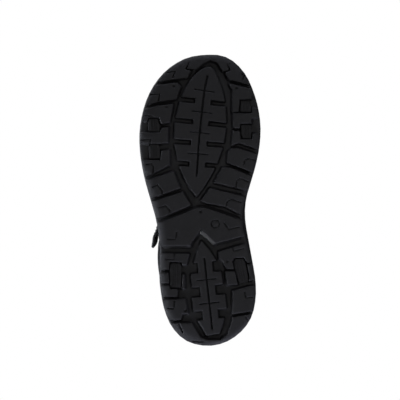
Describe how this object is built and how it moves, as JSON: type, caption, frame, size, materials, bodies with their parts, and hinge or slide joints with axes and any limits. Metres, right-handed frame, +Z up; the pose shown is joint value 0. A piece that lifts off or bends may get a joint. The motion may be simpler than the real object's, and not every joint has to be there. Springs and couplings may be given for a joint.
{
  "type": "strappy sport sandal",
  "caption": "Strappy sport sandal with a lugged rubber outsole, foam midsole, rimmed footbed and webbing straps closed by rings and hook-and-loop ends.",
  "frame": {"origin": "middle of the footprint at ground level", "axes": "+Z up, +Y towards the toe, +X towards the lateral (outer) side of a right foot"},
  "size_m": [0.1208, 0.291, 0.1097],
  "materials": {
    "outsole_rubber": "matt moulded rubber with fine grain",
    "midsole_foam": "matt moulded EVA foam",
    "footbed_foam": "textured EVA foam",
    "shank_nylon": "matt nylon",
    "side_panel": "smooth synthetic panel, stitched edge",
    "webbing": "ribbed polyester webbing",
    "hook_and_loop": "hook-and-loop tape",
    "pull_tab_rubber": "moulded rubber, ribbed",
    "pad_lining": "soft knitted lining over foam",
    "ring_plastic": "satin moulded acetal"
  },
  "bodies": {
    "sole_and_upper": {"outsole": "outsole_rubber", "midsole": "midsole_foam", "shank_plate": "shank_nylon", "footbed": "footbed_foam", "lateral_quarter": "side_panel", "medial_quarter": "side_panel", "toe_strap": "webbing", "toe_loop_tape": "hook_and_loop", "toe_ring": "ring_plastic", "toe_ring_keeper": "webbing", "toe_pad": "pad_lining", "instep_strap": "webbing", "instep_loop_tape": "hook_and_loop", "instep_ring": "ring_plastic", "instep_ring_keeper": "webbing", "instep_pad": "pad_lining"},
    "toe_end": {"toe_strap_end": "webbing", "toe_pull_tab": "pull_tab_rubber", "toe_hook_tape": "hook_and_loop"},
    "instep_end": {"instep_strap_end": "webbing", "instep_pull_tab": "pull_tab_rubber", "instep_hook_tape": "hook_and_loop"},
    "heel_loop": {"heel_strap": "webbing", "heel_loop_tape": "hook_and_loop", "heel_pad": "pad_lining", "heel_ring": "ring_plastic", "heel_ring_keeper": "webbing"},
    "heel_end": {"heel_strap_end": "webbing", "heel_pull_tab": "pull_tab_rubber", "heel_hook_tape": "hook_and_loop"}
  },
  "joints": [
    {"name": "toe_strap_open", "type": "hinge", "parent": "sole_and_upper", "child": "toe_end", "pos_m": [0.04149, 0.05894, 0.05236], "axis": [0.1669, 0.9467, -0.2756], "range_deg": [0, 120]},
    {"name": "instep_strap_open", "type": "hinge", "parent": "sole_and_upper", "child": "instep_end", "pos_m": [0.0324, 0.00182, 0.08647], "axis": [0, 0.766, -0.6428], "range_deg": [0, 120]},
    {"name": "heel_strap_swing", "type": "hinge", "parent": "sole_and_upper", "child": "heel_loop", "pos_m": [0, 0.00338, 0.04859], "axis": [1, 0, 0], "range_deg": [-4, 8]},
    {"name": "heel_strap_open", "type": "hinge", "parent": "heel_loop", "child": "heel_end", "pos_m": [0.0398, -0.01873, 0.05493], "axis": [0, 0.2756, 0.9613], "range_deg": [0, 120]}
  ]
}
